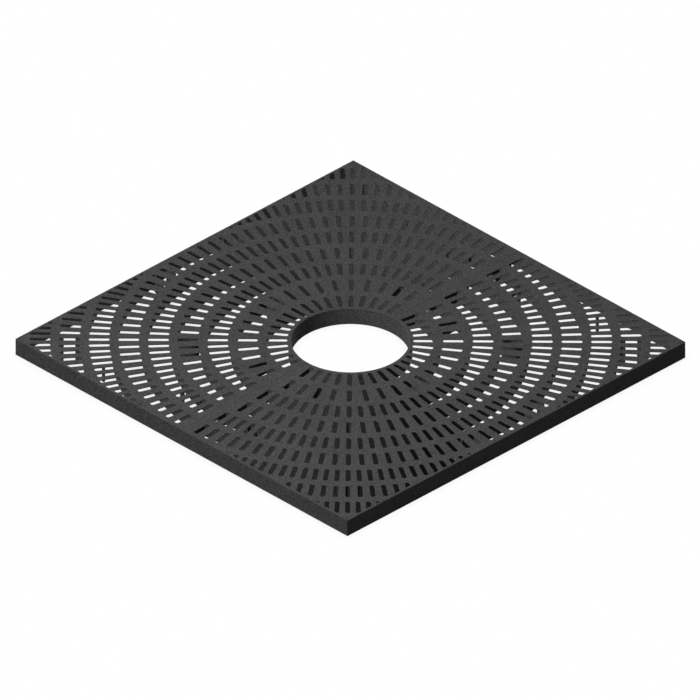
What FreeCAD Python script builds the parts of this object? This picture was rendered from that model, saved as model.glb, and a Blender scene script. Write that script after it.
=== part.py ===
import FreeCAD, Part
import Sketcher
import math
import os

# A square plastic tree grate, moulded in two equal halves that close round a trunk.
# Each half is a thin slotted skin over ring ribs, and bolts clamp the halves at the seam.
# Origin: middle of the trunk hole, on the ground. +Z up, seam along Y, millimetres.

doc = FreeCAD.newDocument("tree_grate")
sheet = doc.addObject("Spreadsheet::Sheet", "Sizes")

sizes = {
    # Outside of the whole grate and its trunk hole
    "side": 1000,
    "depth": 39,
    "trunk_hole": 250,
    "edge_break": 1.5,
    # Moulded walls
    "skin": 3,
    "edge_wall": 5.5,
    "hole_wall": 6,
    "seam_wall": 9,
    "rib_wall": 8,
    # Rings of radial slots that widen downwards, counted in a full turn
    "ring_inset": 30,
    "ring_pitch": 62.5,
    "slot_length": 44,
    "slot_width": 10.5,
    "slot_flare": 30,
    "slots_hub": 40,
    "slots_inner": 72,
    "slots_middle": 104,
    "slots_outer": 144,
    "slots_corner": 184,
    # Hollow posts that carry the skin between the ribs
    "post_width": 48,
    "post_wall": 5,
    "side_post_angle": 12,
    # Solid pins between two slots
    "inner_pin": 10,
    "outer_pin": 7,
    # Walls of the bolt bays, and the pairs of corner blocks
    "corner_round": 18,
    "inner_bay_reach": 75,
    "inner_bay_wall": 10,
    "outer_bay_reach": 70,
    "outer_bay_wall": 6,
    "block_gap": 24.5,
    "block_length": 49,
    # Drain notches through the seam walls, from the middle of a ring outwards
    "notch_width": 26,
    "notch_height": 22.5,
    # Flanged hexagon bolts and nuts
    "bolt_size": 8,
    "bolt_length": 30,
    "bolt_height": 17,
    "bolt_tip": 1,
    "bolt_clearance": 0.5,
    "thread_clearance": 0.1,
    "head_across": 13,
    "head_height": 8,
    "flange_width": 18,
    "flange_thickness": 1.5,
}
for row, (alias, value) in enumerate(sizes.items(), start=1):
    sheet.set(f"A{row}", alias)
    sheet.set(f"B{row}", str(value))
    sheet.setAlias(f"B{row}", alias)
doc.recompute()

# Slots per turn, ring by ring from the trunk hole to the corners
ring_slots = [sheet.slots_hub] * 2 + [sheet.slots_inner] * 2 + [sheet.slots_middle] * 2
ring_slots += [sheet.slots_outer] * 2 + [sheet.slots_corner]

# Rings that hold each feature of the underside, and the slot next below each pin
INNER_BOLT_RING = 2
OUTER_BOLT_RING = 5
NOTCH_RINGS = (4, 6)
HUB_POST_RING = 2
DIAGONAL_POST_RING = 4
SIDE_POST_RING = 6
INNER_PIN_RING = 5
INNER_PIN_SLOT = 21
OUTER_PIN_RING = 7
OUTER_PIN_SLOT = 22
CORNER_BLOCK_RING = 8

half_side = sheet.side / 2
inside = half_side - sheet.edge_wall
trunk_radius = sheet.trunk_hole / 2
underside = sheet.depth - sheet.skin
UP = FreeCAD.Vector(0, 0, 1)


def ring_radius(ring):
    return trunk_radius + sheet.ring_inset + (ring - 1) * sheet.ring_pitch


def rib_radius(ring):
    return ring_radius(ring) + sheet.ring_pitch / 2


def block(x, y, z):
    # Box given by its range along each axis
    corner = FreeCAD.Vector(x[0], y[0], z[0])
    return Part.makeBox(x[1] - x[0], y[1] - y[0], z[1] - z[0], corner)


def tube(inner, outer, height, centre=FreeCAD.Vector(), sweep=360):
    wall = Part.makeCylinder(outer, height, centre, UP, sweep)
    return wall.cut(Part.makeCylinder(inner, height, centre))


def slot_cutter(ring):
    # One slot on X, from its mouth in the top face to its wider foot under the skin
    middle = ring_radius(ring)
    reach = sheet.slot_length / 2
    breadth = sheet.slot_width / 2
    spread = sheet.skin * math.tan(math.radians(sheet.slot_flare))
    foot_low = (middle - reach - spread, underside, -breadth - spread)
    mouth_low = (-breadth, middle - reach)
    foot_high = (middle + reach + spread, sheet.depth, breadth + spread)
    mouth_high = (breadth, middle + reach)
    wedge = Part.makeWedge(*foot_low, *mouth_low, *foot_high, *mouth_high)
    return wedge.rotated(FreeCAD.Vector(), FreeCAD.Vector(1, 0, 0), 90)


def quarter_skin():
    # Flat top with its share of the trunk hole, pierced by the slots that start inside the outer walls
    cutters = [Part.makeCylinder(trunk_radius, sheet.depth)]
    for ring, slots in enumerate(ring_slots, start=1):
        seed = slot_cutter(ring)
        start = ring_radius(ring) - sheet.slot_length / 2
        step = 360 / slots
        for number in range(math.ceil(90 / step)):
            angle = math.radians(number * step)
            if start * max(math.cos(angle), math.sin(angle)) < inside:
                cutters.append(seed.rotated(FreeCAD.Vector(), UP, number * step))
    return block((0, half_side), (0, half_side), (underside, sheet.depth)).cut(cutters)


def quarter_walls():
    # Wall round the two outer sides with a round in its corner, wall along the seam, and wall of the hole
    seam_start = trunk_radius + sheet.hole_wall / 2
    start = inside - sheet.corner_round
    corner = block((start, inside), (start, inside), (0, underside))
    hollow = Part.makeCylinder(sheet.corner_round, underside, FreeCAD.Vector(start, start, 0))
    return [
        block((inside, half_side), (0, half_side), (0, sheet.depth)),
        block((0, half_side), (inside, half_side), (0, sheet.depth)),
        block((0, sheet.seam_wall), (seam_start, half_side), (0, sheet.depth)),
        tube(trunk_radius, trunk_radius + sheet.hole_wall, sheet.depth, sweep=90),
        corner.cut(hollow),
    ]


def quarter_ribs():
    # Ring ribs between the rings of slots, stopped at the sides of the square
    square = block((0, half_side), (0, half_side), (0, underside))
    ribs = []
    for ring in range(1, len(ring_slots)):
        middle = rib_radius(ring)
        rib = tube(middle - sheet.rib_wall / 2, middle + sheet.rib_wall / 2, underside, sweep=90)
        ribs.append(rib.common(square))
    return ribs


def quarter_posts():
    # Hollow round posts, one on X, one on the diagonal and one near the outer side
    places = [(HUB_POST_RING, 0), (DIAGONAL_POST_RING, 45), (SIDE_POST_RING, sheet.side_post_angle)]
    outer = sheet.post_width / 2
    posts = []
    for ring, turn in places:
        angle = math.radians(turn)
        centre = ring_radius(ring) * FreeCAD.Vector(math.cos(angle), math.sin(angle), 0)
        posts.append(tube(outer - sheet.post_wall, outer, underside, centre))
    return posts


def pin(ring, slot, width):
    # Solid pin midway between a slot and the next one
    angle = math.radians((slot + 0.5) * 360 / ring_slots[ring - 1])
    centre = ring_radius(ring) * FreeCAD.Vector(math.cos(angle), math.sin(angle), 0)
    return Part.makeCylinder(width / 2, underside, centre)


def quarter_pins():
    return [
        pin(INNER_PIN_RING, INNER_PIN_SLOT, sheet.inner_pin),
        pin(OUTER_PIN_RING, OUTER_PIN_SLOT, sheet.outer_pin),
    ]


def bay_side(ring, reach, wall):
    # Straight wall that closes a bolt bay between two ribs
    far = reach + wall
    low = math.sqrt(rib_radius(ring - 1) ** 2 - reach**2)
    high = math.sqrt(rib_radius(ring) ** 2 - far**2)
    return block((reach, far), (low, high), (0, underside))


def quarter_blocks():
    # Bay walls, and two blocks across the diagonal that leave a channel between them
    reach = sheet.block_length / 2
    middle = ring_radius(CORNER_BLOCK_RING)
    gap = sheet.block_gap / 2
    lower = (rib_radius(CORNER_BLOCK_RING - 1), middle - gap)
    upper = (middle + gap, rib_radius(CORNER_BLOCK_RING))
    corner = [block(along, (-reach, reach), (0, underside)) for along in (lower, upper)]
    return [
        bay_side(INNER_BOLT_RING, sheet.inner_bay_reach, sheet.inner_bay_wall),
        bay_side(OUTER_BOLT_RING, sheet.outer_bay_reach, sheet.outer_bay_wall),
        *(piece.rotated(FreeCAD.Vector(), UP, 45) for piece in corner),
    ]


def seam_cutters():
    # Drain notches under the seam wall, and the bolt holes through it
    cutters = []
    for ring in NOTCH_RINGS:
        start = ring_radius(ring)
        end = start + sheet.notch_width
        cutters.append(block((0, sheet.seam_wall), (start, end), (0, sheet.notch_height)))
    for ring in (INNER_BOLT_RING, OUTER_BOLT_RING):
        mouth = FreeCAD.Vector(0, ring_radius(ring), sheet.bolt_height)
        radius = sheet.bolt_size / 2 + sheet.bolt_clearance
        cutters.append(Part.makeCylinder(radius, sheet.seam_wall, mouth, FreeCAD.Vector(1, 0, 0)))
    return cutters


def on_top_outline(edge):
    # True for the top edges at the outer sides and the trunk hole
    if any(abs(vertex.Z - sheet.depth) > 1e-6 for vertex in edge.Vertexes):
        return False
    middle = edge.valueAt((edge.FirstParameter + edge.LastParameter) / 2)
    from_centre = math.hypot(middle.x, middle.y)
    gaps = (half_side - middle.x, half_side - abs(middle.y), from_centre - trunk_radius)
    return any(abs(gap) < 1e-6 for gap in gaps)


def moulded_half():
    # A quarter, mirrored about X, with its top outline broken
    walls = quarter_walls()
    below = quarter_ribs() + quarter_posts() + quarter_pins() + quarter_blocks()
    quarter = walls[0].fuse(walls[1:] + below).cut(seam_cutters()).fuse(quarter_skin())
    half = quarter.fuse(quarter.mirror(FreeCAD.Vector(), FreeCAD.Vector(0, 1, 0))).removeSplitter()
    outline = [edge for edge in half.Edges if on_top_outline(edge)]
    return half.makeChamfer(sheet.edge_break, outline)


def add_half(label, moulding, turn):
    half = doc.addObject("Part::Feature", label)
    half.Label = label
    half.Shape = moulding
    half.Placement = FreeCAD.Placement(FreeCAD.Vector(), FreeCAD.Rotation(turn, 0, 0))
    return half


def value_of(expression):
    return float(sheet.evalExpression(expression))


def sketch_on(body, name):
    # Sketch on the XY plane of the body's own origin
    sketch = body.newObject("Sketcher::SketchObject", f"{body.Label}_{name}")
    plane = next(item for item in body.Origin.OriginFeatures if item.Role == "XY_Plane")
    sketch.AttachmentSupport = (plane, [""])
    sketch.MapMode = "FlatFace"
    return sketch


def bind(sketch, constraint, expression):
    index = sketch.addConstraint(constraint)
    sketch.setExpression(f"Constraints[{index}]", expression)


def circle(sketch, diameter):
    # Circle about the origin
    shape = Part.Circle(FreeCAD.Vector(), UP, value_of(diameter) / 2)
    index = sketch.addGeometry(shape, False)
    sketch.addConstraint(Sketcher.Constraint("Coincident", index, 3, -1, 1))
    bind(sketch, Sketcher.Constraint("Diameter", index, value_of(diameter)), diameter)


def hexagon(sketch, across):
    # Regular hexagon about the origin with a corner on X, sized across its flats
    reach = value_of(f"{across} / sqrt(3)")
    guide = sketch.addGeometry(Part.Circle(FreeCAD.Vector(), UP, reach), True)
    sketch.addConstraint(Sketcher.Constraint("Coincident", guide, 3, -1, 1))
    bind(sketch, Sketcher.Constraint("Radius", guide, reach), f"{across} / sqrt(3)")
    turns = [math.radians(60 * corner) for corner in range(7)]
    corners = [reach * FreeCAD.Vector(math.cos(turn), math.sin(turn), 0) for turn in turns]
    first = sketch.GeometryCount
    for start, end in zip(corners, corners[1:]):
        sketch.addGeometry(Part.LineSegment(start, end), False)
    for edge in range(6):
        following = first + (edge + 1) % 6
        sketch.addConstraint(Sketcher.Constraint("Coincident", first + edge, 2, following, 1))
        sketch.addConstraint(Sketcher.Constraint("PointOnObject", first + edge, 1, guide))
    for edge in range(1, 6):
        sketch.addConstraint(Sketcher.Constraint("Equal", first, first + edge))
    sketch.addConstraint(Sketcher.Constraint("PointOnObject", first, 1, -1))


def pad(body, sketch, length, reverse=False):
    feature = body.newObject("PartDesign::Pad", f"{sketch.Name}_pad")
    feature.Profile = sketch
    feature.setExpression("Length", length)
    feature.Reversed = reverse
    body.Tip = feature
    doc.recompute()
    return feature


def new_body(label):
    body = doc.addObject("PartDesign::Body", label)
    body.Label = label
    return body


def make_bolt(label):
    # Hexagon head and flange below the XY plane, shank above it with a broken tip
    bolt = new_body(label)
    head = sketch_on(bolt, "head")
    hexagon(head, "Sizes.head_across")
    pad(bolt, head, "Sizes.head_height", reverse=True)
    flange = sketch_on(bolt, "flange")
    circle(flange, "Sizes.flange_width")
    pad(bolt, flange, "Sizes.flange_thickness", reverse=True)
    shank = sketch_on(bolt, "shank")
    circle(shank, "Sizes.bolt_size")
    stem = pad(bolt, shank, "Sizes.bolt_length")
    tip = bolt.newObject("PartDesign::Chamfer", f"{label}_tip")
    ends = []
    for number, edge in enumerate(stem.Shape.Edges, start=1):
        if abs(edge.BoundBox.ZMin - sheet.bolt_length) < 1e-6:
            ends.append(f"Edge{number}")
    tip.Base = (stem, ends)
    tip.setExpression("Size", "Sizes.bolt_tip")
    bolt.Tip = tip
    doc.recompute()
    return bolt


def make_nut(label):
    # Hexagon on a flange that lies on the XY plane, with one bore through both
    nut = new_body(label)
    bore = "(Sizes.bolt_size + 2 * Sizes.thread_clearance)"
    section = sketch_on(nut, "section")
    hexagon(section, "Sizes.head_across")
    circle(section, bore)
    pad(nut, section, "Sizes.head_height")
    flange = sketch_on(nut, "flange")
    circle(flange, "Sizes.flange_width")
    circle(flange, bore)
    pad(nut, flange, "Sizes.flange_thickness")
    return nut


def along_seam(body, x, ring, side):
    # Turns a fastener's axis from Z to X and sets it at its bolt hole
    radius = f"(Sizes.trunk_hole / 2 + Sizes.ring_inset + {ring - 1} * Sizes.ring_pitch)"
    body.Placement = FreeCAD.Placement(FreeCAD.Vector(), FreeCAD.Rotation(FreeCAD.Vector(0, 1, 0), 90))
    body.setExpression("Placement.Base.x", x)
    body.setExpression("Placement.Base.y", f"{side} * {radius}")
    body.setExpression("Placement.Base.z", "Sizes.bolt_height")
    doc.recompute()
    return body


moulding = moulded_half()
pieces = [add_half("east_half", moulding, 0), add_half("west_half", moulding, 180)]
seats = [(ring, side) for side in (1, -1) for ring in (INNER_BOLT_RING, OUTER_BOLT_RING)]
for number, (ring, side) in enumerate(seats, start=1):
    bolt = make_bolt(f"seam_bolt_{number}")
    pieces.append(along_seam(bolt, "-Sizes.seam_wall", ring, side))
    nut = make_nut(f"seam_nut_{number}")
    pieces.append(along_seam(nut, "Sizes.seam_wall", ring, side))

for item in doc.Objects:
    if "Invalid" in item.State or "Error" in item.State:
        raise RuntimeError(f"{item.Label} failed: {item.State}")
for piece in pieces:
    if piece.Shape.isNull() or not piece.Shape.isValid():
        raise RuntimeError(f"{piece.Label} has no valid shape")

os.makedirs("parts", exist_ok=True)
for piece in pieces:
    piece.Shape.exportStep(f"parts/{piece.Label}.step")
    print(piece.Label, len(piece.Shape.Solids), "solid,", round(piece.Shape.Volume), "mm3")
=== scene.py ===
import math

import bmesh
import bpy
from mathutils import Matrix, Vector


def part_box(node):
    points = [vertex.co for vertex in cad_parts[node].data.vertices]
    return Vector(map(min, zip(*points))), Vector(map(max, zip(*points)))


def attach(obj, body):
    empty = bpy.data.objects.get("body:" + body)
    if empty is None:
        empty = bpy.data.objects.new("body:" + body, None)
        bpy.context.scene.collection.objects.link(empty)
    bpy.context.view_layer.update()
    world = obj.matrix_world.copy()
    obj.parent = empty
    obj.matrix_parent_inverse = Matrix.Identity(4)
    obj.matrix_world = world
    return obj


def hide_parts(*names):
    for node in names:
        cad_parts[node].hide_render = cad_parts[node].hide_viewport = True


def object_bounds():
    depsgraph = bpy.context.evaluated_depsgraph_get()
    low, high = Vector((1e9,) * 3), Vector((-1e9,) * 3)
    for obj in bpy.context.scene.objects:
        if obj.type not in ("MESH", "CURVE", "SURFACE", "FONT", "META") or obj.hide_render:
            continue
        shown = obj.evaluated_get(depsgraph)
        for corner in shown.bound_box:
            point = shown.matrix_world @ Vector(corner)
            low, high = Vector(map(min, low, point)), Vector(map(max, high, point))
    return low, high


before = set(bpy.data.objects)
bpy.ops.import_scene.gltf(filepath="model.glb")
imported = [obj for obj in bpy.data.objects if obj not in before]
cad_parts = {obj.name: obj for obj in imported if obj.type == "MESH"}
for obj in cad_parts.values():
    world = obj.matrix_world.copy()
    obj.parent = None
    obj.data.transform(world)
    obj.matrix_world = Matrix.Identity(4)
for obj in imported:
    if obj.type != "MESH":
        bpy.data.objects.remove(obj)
cad_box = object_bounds()

# Moulded halves. Each is one dark plastic moulding: a flat skin with rings of radial slots, over ring
# ribs, posts and walls. The ribs and walls come from the solid, and the skin is moulded again here
# with the small rounds that a mould leaves at the slots, the edges and the upright corners.

MM = 0.001
SIDE = 2 * cad_box[1].x
TOP = cad_box[1].z
SKIN = 3 * MM
UNDERSIDE = TOP - SKIN
EDGE_BREAK = 0.5 * MM
CORNER_ROUND = 1.5 * MM
LEAST_ROUND = 0.3 * MM
CORNER_STEPS = 4
SEAM_BREAK = 0.4 * MM
TRUNK_RADIUS = 125 * MM
TRUNK_STEPS = 64
EDGE_WALL = 5.5 * MM
HOLE_WALL = 6 * MM
SEAM_WALL = 9 * MM

RING_SLOTS = (40, 40, 72, 72, 104, 104, 144, 144, 184, 184)
FIRST_RING = TRUNK_RADIUS + 30 * MM
RING_PITCH = 62.5 * MM
SLOT_LENGTH = 44 * MM
SLOT_WIDTH = 10.5 * MM
SLOT_FLARE = math.radians(30)
SLOT_CORNER = 4 * MM
SLOT_RIM = 0.4 * MM
SLOT_LAND = 1.7 * MM
SLOT_REACH = 30 * MM
OVERLAP = 0.4 * MM
WELD = 0.01 * MM
SHARP_EDGE = math.radians(32)


def arc(x, y, radius, quarter):
    # Quarter turn of a rounded corner, as points about its centre
    turns = [math.pi / 2 * (quarter + step / (CORNER_STEPS - 1)) for step in range(CORNER_STEPS)]
    return [(x + radius * math.cos(turn), y + radius * math.sin(turn)) for turn in turns]


def east_corners(inset):
    # The two upright corners of the square on the east side
    radius = max(CORNER_ROUND - inset, LEAST_ROUND)
    centre = SIDE / 2 - inset - radius
    return arc(centre, -centre, radius, -1) + arc(centre, centre, radius, 0)


def outline(inset_seam, inset_edge, hole_radius):
    # East half seen from above: the seam along Y, three sides of the square and half of the trunk hole
    far = SIDE / 2 - inset_edge
    corners = [(inset_seam, -far), *east_corners(inset_edge), (inset_seam, far)]
    start = math.acos(inset_seam / hole_radius)
    turns = [start * (1 - 2 * step / TRUNK_STEPS) for step in range(TRUNK_STEPS + 1)]
    return corners + [(hole_radius * math.cos(turn), hole_radius * math.sin(turn)) for turn in turns]


def stack(mesh, layers):
    # Closed solid between the first and the last of a stack of outlines with equal numbers of points
    rings = [[mesh.verts.new((x, y, height)) for x, y in points] for height, points in layers]
    for lower, upper in zip(rings, rings[1:]):
        for step in range(len(lower)):
            following = (step + 1) % len(lower)
            mesh.faces.new((lower[step], lower[following], upper[following], upper[step]))
    mesh.faces.new(reversed(rings[0]))
    mesh.faces.new(rings[-1])


def slot_outline(ring, angle, spread):
    # Slot with rounded corners, grown by a spread and turned to its place in the ring
    middle = FIRST_RING + ring * RING_PITCH
    reach = SLOT_LENGTH / 2 - SLOT_CORNER
    breadth = SLOT_WIDTH / 2 - SLOT_CORNER
    points = []
    for quarter, (side_x, side_y) in enumerate(((1, 1), (-1, 1), (-1, -1), (1, -1))):
        points += arc(middle + side_x * reach, side_y * breadth, SLOT_CORNER + spread, quarter)
    along, across = math.cos(angle), math.sin(angle)
    return [(x * along - y * across, x * across + y * along) for x, y in points]


def slot_plugs(mesh):
    # The space of every slot: a broken rim, a straight land, and a foot that opens as wide as the solid's
    # and goes on down through posts and blocks
    flare = SKIN * math.tan(SLOT_FLARE)
    layers = (
        (UNDERSIDE - SLOT_REACH, flare),
        (UNDERSIDE, flare),
        (TOP - SLOT_LAND, 0),
        (TOP - SLOT_RIM, 0),
        (TOP + SLOT_RIM, SLOT_RIM * 2),
    )
    for ring, slots in enumerate(RING_SLOTS):
        start = FIRST_RING + ring * RING_PITCH - SLOT_LENGTH / 2
        for number in range(1 - slots // 4, slots // 4):
            angle = math.tau * number / slots
            if start * max(math.cos(angle), abs(math.sin(angle))) < SIDE / 2 - EDGE_WALL:
                stack(mesh, [(height, slot_outline(ring, angle, spread)) for height, spread in layers])


def solid(name, build, *details):
    # Object in the scene with the mesh that a build function makes
    mesh = bmesh.new()
    build(mesh, *details)
    data = bpy.data.meshes.new(name)
    mesh.to_mesh(data)
    mesh.free()
    piece = bpy.data.objects.new(name, data)
    bpy.context.scene.collection.objects.link(piece)
    return piece


def combine(piece, operation, other):
    # Boolean of two solids, kept as the first one's own mesh
    step = piece.modifiers.new(operation, "BOOLEAN")
    step.operation = operation
    step.solver = "MANIFOLD"
    step.object = other
    graph = bpy.context.evaluated_depsgraph_get()
    before = piece.data
    piece.data = bpy.data.meshes.new_from_object(piece.evaluated_get(graph))
    piece.modifiers.clear()
    bpy.data.meshes.remove(before)
    bpy.data.meshes.remove(other.data)


def closed_copy(mesh, node):
    # Mesh of a solid, with the faces joined along their edges
    mesh.from_mesh(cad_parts[node].data)
    bmesh.ops.remove_doubles(mesh, verts=mesh.verts, dist=WELD)


def ribs_and_walls(node):
    # What hangs below the skin, cut from the solid and drawn a little way up into the skin. The import's
    # own corner normals would shade the new faces wrongly, so they go.
    square = [(-SIDE, -SIDE / 2), *east_corners(0), (-SIDE, SIDE / 2)]
    level = UNDERSIDE - OVERLAP
    ribs = solid("ribs", closed_copy, node)
    corner_normals = ribs.data.attributes.get("custom_normal")
    if corner_normals:
        ribs.data.attributes.remove(corner_normals)
    combine(ribs, "INTERSECT", solid("under_skin", stack, [(-TOP, square), (level, square)]))
    for vertex in ribs.data.vertices:
        if vertex.co.z > level - OVERLAP:
            vertex.co.z = UNDERSIDE + OVERLAP
    return ribs


def moulding(name, node):
    # Skin with broken edges, joined to its ribs and walls and pierced by the slots
    brim = outline(SEAM_BREAK, EDGE_BREAK, TRUNK_RADIUS + EDGE_BREAK)
    edge = outline(0, 0, TRUNK_RADIUS)
    inside = outline(SEAM_WALL, EDGE_WALL, TRUNK_RADIUS + HOLE_WALL)
    half = solid(name, stack, [(UNDERSIDE, edge), (TOP - EDGE_BREAK, edge), (TOP, brim)])
    slots = solid("slots", slot_plugs)
    combine(slots, "INTERSECT", solid("inside", stack, [(-TOP, inside), (2 * TOP, inside)]))
    combine(half, "UNION", ribs_and_walls(node))
    combine(half, "DIFFERENCE", slots)
    return half


def hex_colour(code):
    # sRGB hex to the linear colour of a shader socket
    channels = [int(code[place:place + 2], 16) / 255 for place in (0, 2, 4)]
    linear = [c / 12.92 if c <= 0.04045 else ((c + 0.055) / 1.055) ** 2.4 for c in channels]
    return (*linear, 1)


def add_node(tree, kind, inputs=None, **settings):
    # Adds a node with its settings, and links or sets its inputs
    node = tree.nodes.new(kind)
    for name, value in settings.items():
        setattr(node, name, value)
    for name, value in (inputs or {}).items():
        if isinstance(value, bpy.types.NodeSocket):
            tree.links.new(value, node.inputs[name])
        else:
            node.inputs[name].default_value = value
    return node


def new_material(name):
    # Material with an empty node tree
    material = bpy.data.materials.new(name)
    material.use_nodes = True
    material.node_tree.nodes.clear()
    return material, material.node_tree


def moulded_polypropylene():
    # Dark grey recycled polypropylene from a spark-eroded mould: dull, with a fine grain and a faint
    # cloudiness of the mixed melt. The grain is 0.6 mm in life and drawn at 2.4 mm so that it shows.
    cloud_size = 60 * MM
    grain_size = 2.4 * MM
    grain_share = 0.9
    grain_depth = 0.1 * MM
    material, tree = new_material("moulded_polypropylene")
    place = add_node(tree, "ShaderNodeTexCoord").outputs["Object"]
    cloud = add_node(tree, "ShaderNodeTexNoise", {"Vector": place, "Scale": 1 / cloud_size, "Detail": 3})
    grain = add_node(tree, "ShaderNodeTexNoise", {"Vector": place, "Scale": 1 / grain_size, "Detail": 2})
    blend = add_node(tree, "ShaderNodeMix", {
        "Factor": grain_share,
        "A": cloud.outputs["Fac"],
        "B": grain.outputs["Fac"],
    })
    tone = add_node(tree, "ShaderNodeValToRGB", {"Fac": blend.outputs["Result"]})
    tone.color_ramp.elements[0].position = 0.37
    tone.color_ramp.elements[0].color = hex_colour("323232")
    tone.color_ramp.elements[1].position = 0.63
    tone.color_ramp.elements[1].color = hex_colour("575756")
    bump = add_node(tree, "ShaderNodeBump", {
        "Height": grain.outputs["Fac"],
        "Strength": 0.25,
        "Distance": grain_depth,
    })
    shader = add_node(tree, "ShaderNodeBsdfPrincipled", {
        "Base Color": tone.outputs["Color"],
        "Normal": bump.outputs["Normal"],
        "Roughness": 0.75,
        "IOR": 1.49,
        "Specular IOR Level": 0.06,
    })
    add_node(tree, "ShaderNodeOutputMaterial", {"Surface": shader.outputs["BSDF"]})
    return material


def finish_piece(piece, material, body, node):
    # Gives a piece its material and shading, and puts it in the place of its solid
    piece.data.materials.clear()
    piece.data.materials.append(material)
    piece.data.shade_smooth()
    piece.data.set_sharp_from_angle(angle=SHARP_EDGE)
    piece.modifiers.new("flat_faces_stay_flat", "WEIGHTED_NORMAL").keep_sharp = True
    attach(piece, body)
    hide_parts(node)


plastic = moulded_polypropylene()
east_half = moulding("east_half_moulding", "east_half")
west_half = bpy.data.objects.new("west_half_moulding", east_half.data.copy())
west_half.data.transform(Matrix.Rotation(math.pi, 4, "Z"))
bpy.context.scene.collection.objects.link(west_half)
finish_piece(east_half, plastic, "east", "east_half")
finish_piece(west_half, plastic, "west", "west_half")

# Flanged bolts. Zinc-plated steel, turned and rolled: a chamfered hexagon on a round flange, and a
# threaded shank that passes both seam walls. They stay in the west half.

SEATS = range(1, 5)
HEXAGON_FLATS = 13 * MM
HEXAGON_CROWN = 0.96 * HEXAGON_FLATS / 2
CHAMFER_SLOPE = math.tan(math.radians(30))
HEAD_HEIGHT = 8 * MM
FLANGE_RADIUS = 9 * MM
FLANGE_EDGE = 1.1 * MM
FLANGE_BREAK = 0.2 * MM
SHANK_RADIUS = 4 * MM
SHANK_TIP = 1 * MM
THREAD_PITCH = 1.25 * MM
THREAD_DEPTH = 0.6 * MM
ROWS_PER_PITCH = 6
ROUND_STEPS = 36


def zinc_plated_steel():
    # Bright zinc on steel, passivated and dulled in store: a soft metal sheen with a grey bloom
    bloom_size = 4 * MM
    material, tree = new_material("zinc_plated_steel")
    place = add_node(tree, "ShaderNodeTexCoord").outputs["Object"]
    bloom = add_node(tree, "ShaderNodeTexNoise", {"Vector": place, "Scale": 1 / bloom_size, "Detail": 4})
    tone = add_node(tree, "ShaderNodeValToRGB", {"Fac": bloom.outputs["Fac"]})
    tone.color_ramp.elements[0].position = 0.35
    tone.color_ramp.elements[0].color = hex_colour("9a9a94")
    tone.color_ramp.elements[1].position = 0.7
    tone.color_ramp.elements[1].color = hex_colour("c6c6c2")
    dullness = add_node(tree, "ShaderNodeMapRange", {
        "Value": bloom.outputs["Fac"],
        "To Min": 0.28,
        "To Max": 0.5,
    })
    shader = add_node(tree, "ShaderNodeBsdfPrincipled", {
        "Base Color": tone.outputs["Color"],
        "Roughness": dullness.outputs["Result"],
        "Metallic": 1.0,
    })
    add_node(tree, "ShaderNodeOutputMaterial", {"Surface": shader.outputs["BSDF"]})
    return material


def turned_ring(mesh, along, radius):
    # Ring of points about X, at a place along X, whose radius may change round the turn
    points = []
    for step in range(ROUND_STEPS):
        angle = math.tau * step / ROUND_STEPS
        reach = radius(angle) if callable(radius) else radius
        points.append(mesh.verts.new((along, reach * math.cos(angle), reach * math.sin(angle))))
    return points


def skin_rings(mesh, rings):
    # Faces between each ring of points and the next
    for lower, upper in zip(rings, rings[1:]):
        for step in range(ROUND_STEPS):
            following = (step + 1) % ROUND_STEPS
            mesh.faces.new((lower[step], lower[following], upper[following], upper[step]))


def hexagon_reach(angle):
    # Radius of the hexagon's side at an angle, with corners on the Z axis as in the solid
    within = (angle - math.pi / 2) % (math.pi / 3) - math.pi / 6
    return HEXAGON_FLATS / 2 / math.cos(within)


def hexagon_rings(mesh, top, foot):
    # Hexagon from its top to its foot, with the turned chamfer that cuts its corners to arcs
    way = math.copysign(1, top - foot)
    shoulder = turned_ring(mesh, top, hexagon_reach)
    for vertex in shoulder:
        vertex.co.x -= way * CHAMFER_SLOPE * (math.hypot(vertex.co.y, vertex.co.z) - HEXAGON_CROWN)
    return [turned_ring(mesh, top, HEXAGON_CROWN), shoulder, turned_ring(mesh, foot, hexagon_reach)]


def flange_rings(mesh, face, edge):
    # Flange with a turned edge, from the end of its slope to its bearing face
    waist = FLANGE_RADIUS - FLANGE_BREAK
    turns = ((1, waist), (0.8, FLANGE_RADIUS), (0.2, FLANGE_RADIUS), (0, waist))
    return [turned_ring(mesh, face + share * edge, radius) for share, radius in turns]


def thread_radius(outer, along, depth):
    # Radius of a screw thread round the turn at a place along its axis
    def reach(angle):
        phase = (along / THREAD_PITCH - angle / math.tau) % 1
        return outer - depth * abs(2 * phase - 1)
    return reach


def settle(mesh, low, high):
    # Moves a turned piece from the X axis to its seat
    middle = (low + high) / 2
    bmesh.ops.translate(mesh, verts=mesh.verts, vec=(0, middle.y, middle.z))
    bmesh.ops.recalc_face_normals(mesh, faces=mesh.faces)


def bolt(mesh, node):
    # Closed mesh from the top of the hexagon, over the flange and down the shank
    low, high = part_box(node)
    clamp = low.x + HEAD_HEIGHT
    rings = hexagon_rings(mesh, low.x, clamp - 2 * FLANGE_EDGE)
    rings += flange_rings(mesh, clamp, -FLANGE_EDGE)
    rings.append(turned_ring(mesh, clamp, SHANK_RADIUS))
    # Rolled thread to the broken tip
    rows = int((high.x - clamp) / THREAD_PITCH * ROWS_PER_PITCH)
    for row in range(1, rows + 1):
        along = clamp + (high.x - clamp) * row / rows
        limit = SHANK_RADIUS - max(0, along - (high.x - SHANK_TIP))
        thread = thread_radius(SHANK_RADIUS, along, THREAD_DEPTH * min(1, row / ROWS_PER_PITCH))
        rings.append(turned_ring(mesh, along, lambda angle: min(thread(angle), limit)))
    skin_rings(mesh, rings)
    mesh.faces.new(rings[0])
    mesh.faces.new(rings[-1])
    settle(mesh, low, high)


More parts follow.
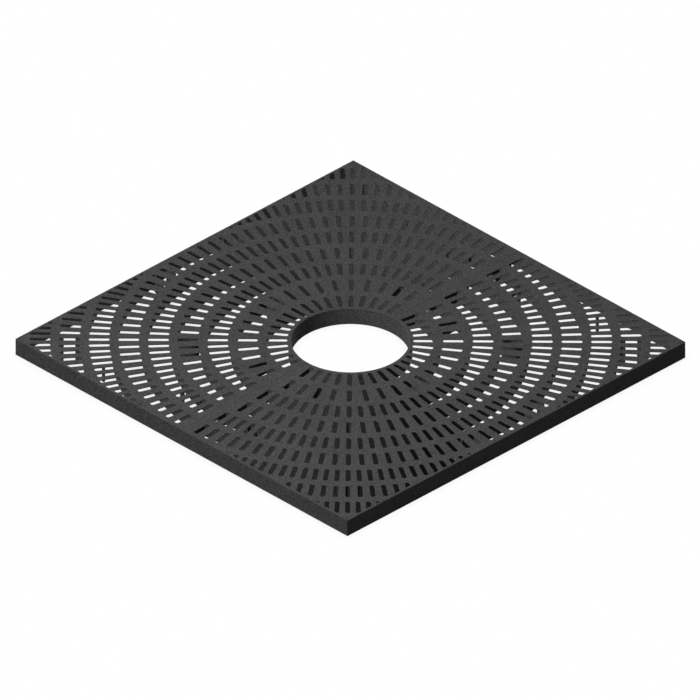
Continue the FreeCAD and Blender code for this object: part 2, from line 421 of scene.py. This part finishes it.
steel = zinc_plated_steel()
for seat in SEATS:
    node = f"seam_bolt_{seat}"
    finish_piece(solid(f"flange_bolt_{seat}", bolt, node), steel, "west", node)

# Flanged nuts. The same plated steel, pressed and tapped: a chamfered hexagon on a round flange
# that bears on the east half's seam wall.

BORE_RADIUS = 4.1 * MM
BORE_THREAD = 0.3 * MM


def nut(mesh, node):
    # Closed mesh from the top of the hexagon, over the flange and back through the bore
    low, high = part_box(node)
    mouth = BORE_RADIUS + 2 * BORE_THREAD
    rings = hexagon_rings(mesh, high.x, low.x + 2 * FLANGE_EDGE)
    rings += flange_rings(mesh, low.x, FLANGE_EDGE)
    rings.append(turned_ring(mesh, low.x, mouth))
    # Tapped bore from the flange to the countersink in the top
    rows = int((high.x - low.x) / THREAD_PITCH * ROWS_PER_PITCH)
    for row in range(1, rows):
        along = low.x + (high.x - low.x) * row / rows
        rings.append(turned_ring(mesh, along, thread_radius(BORE_RADIUS + BORE_THREAD, along, BORE_THREAD)))
    rings.append(turned_ring(mesh, high.x, mouth))
    skin_rings(mesh, rings + rings[:1])
    settle(mesh, low, high)


for seat in SEATS:
    node = f"seam_nut_{seat}"
    finish_piece(solid(f"flange_nut_{seat}", nut, node), steel, "east", node)

# Floor and sky. A plain pale studio floor that reads white to the camera and keeps a soft shadow. It is
# clear from below, so that the underside can be looked at, and the sky is dim but for what looks at it.

FLOOR_REACH = 30
FLOOR_SHADOW = 0.14
FLOOR_WHITE = 0.975
FLOOR_BOUNCE = "626262"
SKY_GLOW = 0.1
WHITE = "ffffff"


def white_to_viewers(tree):
    # 1 for rays from the camera and for those that metal or glass sends on
    path = add_node(tree, "ShaderNodeLightPath").outputs
    sent_on = {0: path["Is Glossy Ray"], 1: path["Is Transmission Ray"]}
    shiny = add_node(tree, "ShaderNodeMath", sent_on, operation="MAXIMUM").outputs["Value"]
    either = {0: path["Is Camera Ray"], 1: shiny}
    return add_node(tree, "ShaderNodeMath", either, operation="MAXIMUM").outputs["Value"]


def studio_floor():
    # Matt painted board: grey in the light it sends on to the object, white to the eye but for the shadow
    material, tree = new_material("studio_floor")
    grey = add_node(tree, "ShaderNodeBsdfDiffuse", {"Color": hex_colour(FLOOR_BOUNCE)}).outputs["BSDF"]
    lit = add_node(tree, "ShaderNodeBsdfDiffuse", {"Color": hex_colour(WHITE)}).outputs["BSDF"]
    even = add_node(tree, "ShaderNodeEmission", {"Color": hex_colour(WHITE), "Strength": FLOOR_WHITE})
    shares = {0: FLOOR_SHADOW, 1: even.outputs["Emission"], 2: lit}
    white = add_node(tree, "ShaderNodeMixShader", shares).outputs["Shader"]
    seen = white_to_viewers(tree)
    top = add_node(tree, "ShaderNodeMixShader", {0: seen, 1: grey, 2: white}).outputs["Shader"]
    below = add_node(tree, "ShaderNodeNewGeometry").outputs["Backfacing"]
    clear = add_node(tree, "ShaderNodeBsdfTransparent").outputs["BSDF"]
    surface = add_node(tree, "ShaderNodeMixShader", {0: below, 1: top, 2: clear}).outputs["Shader"]
    add_node(tree, "ShaderNodeOutputMaterial", {"Surface": surface})
    return material


floor_mesh = bpy.data.meshes.new("studio_floor")
corners = [(-1, -1), (1, -1), (1, 1), (-1, 1)]
floor_mesh.from_pydata([(FLOOR_REACH * x, FLOOR_REACH * y, 0) for x, y in corners], [], [(0, 1, 2, 3)])
floor_mesh.materials.append(studio_floor())
floor = bpy.data.objects.new("studio_floor", floor_mesh)
bpy.context.scene.collection.objects.link(floor)

world = bpy.data.worlds.new("studio")
world.use_nodes = True
sky_tree = world.node_tree
sky_tree.nodes.clear()
dim, white = [
    add_node(sky_tree, "ShaderNodeBackground", {"Color": hex_colour(WHITE), "Strength": strength})
    for strength in (SKY_GLOW, 1)
]
sky = add_node(sky_tree, "ShaderNodeMixShader", {
    0: white_to_viewers(sky_tree),
    1: dim.outputs["Background"],
    2: white.outputs["Background"],
})
add_node(sky_tree, "ShaderNodeOutputWorld", {"Surface": sky.outputs["Shader"]})
bpy.context.scene.world = world

# Lamps. The key stands low in front and is as strong at every distance. It casts no shadow, because the
# walls below the slots are lit by the way they face. The fills show the back and the underside, and a
# wide lamp overhead lights the floor alone, evenly, and gives the object its shadow there.

KEY_PLACE = (-0.13, -1.4, 1.85)
KEY_STRENGTH = 38.5
BACK_PLACE = (-2, 2, 0.1)
BACK_STRENGTH = 1.4
UNDER_PLACE = (-1.8, 1.8, -3)
UNDER_STRENGTH = 1.3
OVERHEAD_PLACE = (0, 0, 3)
OVERHEAD_STRENGTH = 3.2
OVERHEAD_SPREAD = math.radians(60)


def add_lamp(name, kind, energy, place):
    # Lamp without shadows that points at the middle of the floor
    data = bpy.data.lights.new(name, kind)
    data.energy = energy
    data.use_shadow = False
    lamp = bpy.data.objects.new(name, data)
    lamp.location = place
    lamp.rotation_mode = "QUATERNION"
    lamp.rotation_quaternion = Vector(place).to_track_quat("Z", "Y")
    bpy.context.scene.collection.objects.link(lamp)
    return lamp


key = add_lamp("key", "POINT", KEY_STRENGTH, KEY_PLACE)
key.data.use_nodes = True
key_tree = key.data.node_tree
key_tree.nodes.clear()
even = add_node(key_tree, "ShaderNodeLightFalloff", {"Strength": 1})
glow = add_node(key_tree, "ShaderNodeEmission", {"Strength": even.outputs["Constant"]})
add_node(key_tree, "ShaderNodeOutputLight", {"Surface": glow.outputs["Emission"]})
add_lamp("back_fill", "SUN", BACK_STRENGTH, BACK_PLACE).visible_glossy = False
add_lamp("under_fill", "SUN", UNDER_STRENGTH, UNDER_PLACE).visible_glossy = False
overhead = add_lamp("overhead", "SUN", OVERHEAD_STRENGTH, OVERHEAD_PLACE)
overhead.data.angle = OVERHEAD_SPREAD
overhead.data.use_shadow = True
floor_only = bpy.data.collections.new("floor_only")
floor_only.objects.link(floor)
overhead.light_linking.receiver_collection = floor_only
all_but_floor = bpy.data.collections.new("all_but_floor")
all_but_floor.objects.link(floor)
all_but_floor.collection_objects[0].light_linking.link_state = "EXCLUDE"
key.light_linking.receiver_collection = all_but_floor

# Camera. The photograph is a parallel view down on one corner: its image is 700 pixels wide, and the
# middle of the top face lies a little above the middle of the image.

VIEW_AZIMUTH = math.radians(45.5)
VIEW_ELEVATION = math.radians(32.53)
VIEW_WIDTH = 1.4765
IMAGE_WIDTH_PX = 700
TOP_CENTRE_PX = (0.408, 9.65)
CAMERA_DISTANCE = 6
CAMERA_REACH = 100

away = Vector((
    math.sin(VIEW_AZIMUTH) * math.cos(VIEW_ELEVATION),
    -math.cos(VIEW_AZIMUTH) * math.cos(VIEW_ELEVATION),
    math.sin(VIEW_ELEVATION),
))
camera_data = bpy.data.cameras.new("camera")
camera_data.type = "ORTHO"
camera_data.ortho_scale = VIEW_WIDTH
camera_data.clip_end = CAMERA_REACH
camera = bpy.data.objects.new("camera", camera_data)
camera.rotation_mode = "QUATERNION"
camera.rotation_quaternion = away.to_track_quat("Z", "Y")
pixel = VIEW_WIDTH / IMAGE_WIDTH_PX
across = camera.rotation_quaternion @ Vector((1, 0, 0))
upward = camera.rotation_quaternion @ Vector((0, 1, 0))
aim = Vector((0, 0, TOP)) - pixel * (TOP_CENTRE_PX[0] * across + TOP_CENTRE_PX[1] * upward)
camera.location = aim + CAMERA_DISTANCE * away
bpy.context.scene.collection.objects.link(camera)
bpy.context.scene.camera = camera
bpy.context.scene.view_settings.view_transform = "Standard"
